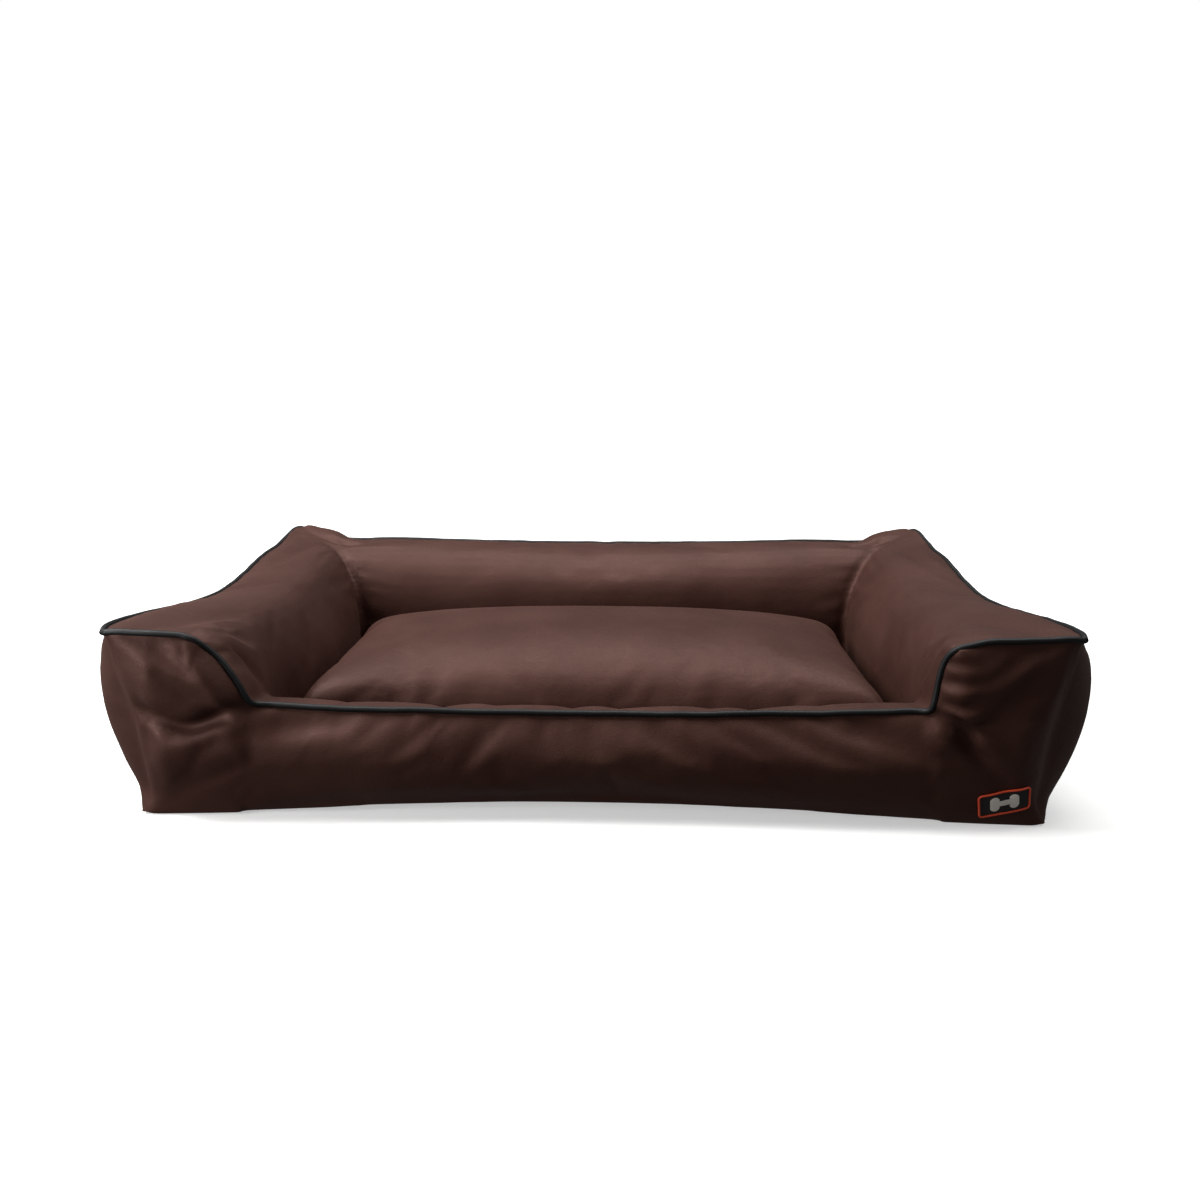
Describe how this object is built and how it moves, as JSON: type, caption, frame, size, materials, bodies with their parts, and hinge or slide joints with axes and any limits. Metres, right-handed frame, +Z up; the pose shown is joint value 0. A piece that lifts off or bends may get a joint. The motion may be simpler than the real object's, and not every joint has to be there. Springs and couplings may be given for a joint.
{
  "type": "pet cushion bed",
  "caption": "Rectangular pet bed with stuffed fabric walls, a low front entry and piped edges, round a loose zipped cushion on a fabric base.",
  "frame": {"origin": "middle of the underside, on the floor", "axes": "+X along the bed's length, to the right of someone facing its low front wall; +Y from the front wall to the back wall; +Z up"},
  "size_m": [1.1998, 0.7999, 0.2542],
  "materials": {
    "wall_cloth": "satin woven nylon",
    "base_cloth": "satin woven nylon",
    "cushion_cloth": "satin woven nylon",
    "stuffing": "loose polyester fibre",
    "piping_cloth": "plain woven nylon",
    "piping_cord": "twisted cotton",
    "label_cloth": "woven label cloth",
    "label_thread": "embroidery thread",
    "zip_tape": "woven polyester tape",
    "zip_coil": "moulded nylon",
    "zip_metal": "dark plated zinc"
  },
  "bodies": {
    "bed": {"front_outer_panel": "wall_cloth", "front_inner_panel": "wall_cloth", "front_wall_stuffing": "stuffing", "left_outer_panel": "wall_cloth", "left_inner_panel": "wall_cloth", "left_wall_stuffing": "stuffing", "right_outer_panel": "wall_cloth", "right_inner_panel": "wall_cloth", "right_wall_stuffing": "stuffing", "back_outer_panel": "wall_cloth", "back_inner_panel": "wall_cloth", "back_wall_stuffing": "stuffing", "base_sheet": "base_cloth", "rim_piping_cover": "piping_cloth", "rim_piping_cord": "piping_cord", "front_piping_cover": "piping_cloth", "front_piping_cord": "piping_cord", "label_patch": "label_cloth", "label_emblem": "label_thread"},
    "cushion": {"cushion_top_cover": "cushion_cloth", "cushion_bottom_cover": "cushion_cloth", "cushion_stuffing": "stuffing", "zip_upper_tape": "zip_tape", "zip_lower_tape": "zip_tape", "zip_upper_coil": "zip_coil", "zip_lower_coil": "zip_coil", "zip_closed_end_stop": "zip_metal", "zip_open_end_stop": "zip_metal"},
    "zip_slider": {"zip_slider": "zip_metal"},
    "zip_puller": {"zip_puller": "zip_metal"}
  },
  "joints": [
    {"name": "cushion_lift", "type": "slide", "parent": "bed", "child": "cushion", "axis": [0, 0, 1], "range_m": [0, 0.3]},
    {"name": "zip_slide", "type": "slide", "parent": "cushion", "child": "zip_slider", "axis": [-1, 0, 0], "range_m": [0, 0.62]},
    {"name": "zip_puller_swing", "type": "hinge", "parent": "zip_slider", "child": "zip_puller", "pos_m": [0.3104, 0.19835, 0.062], "axis": [0, 0, -1], "range_deg": [0, 180]}
  ]
}
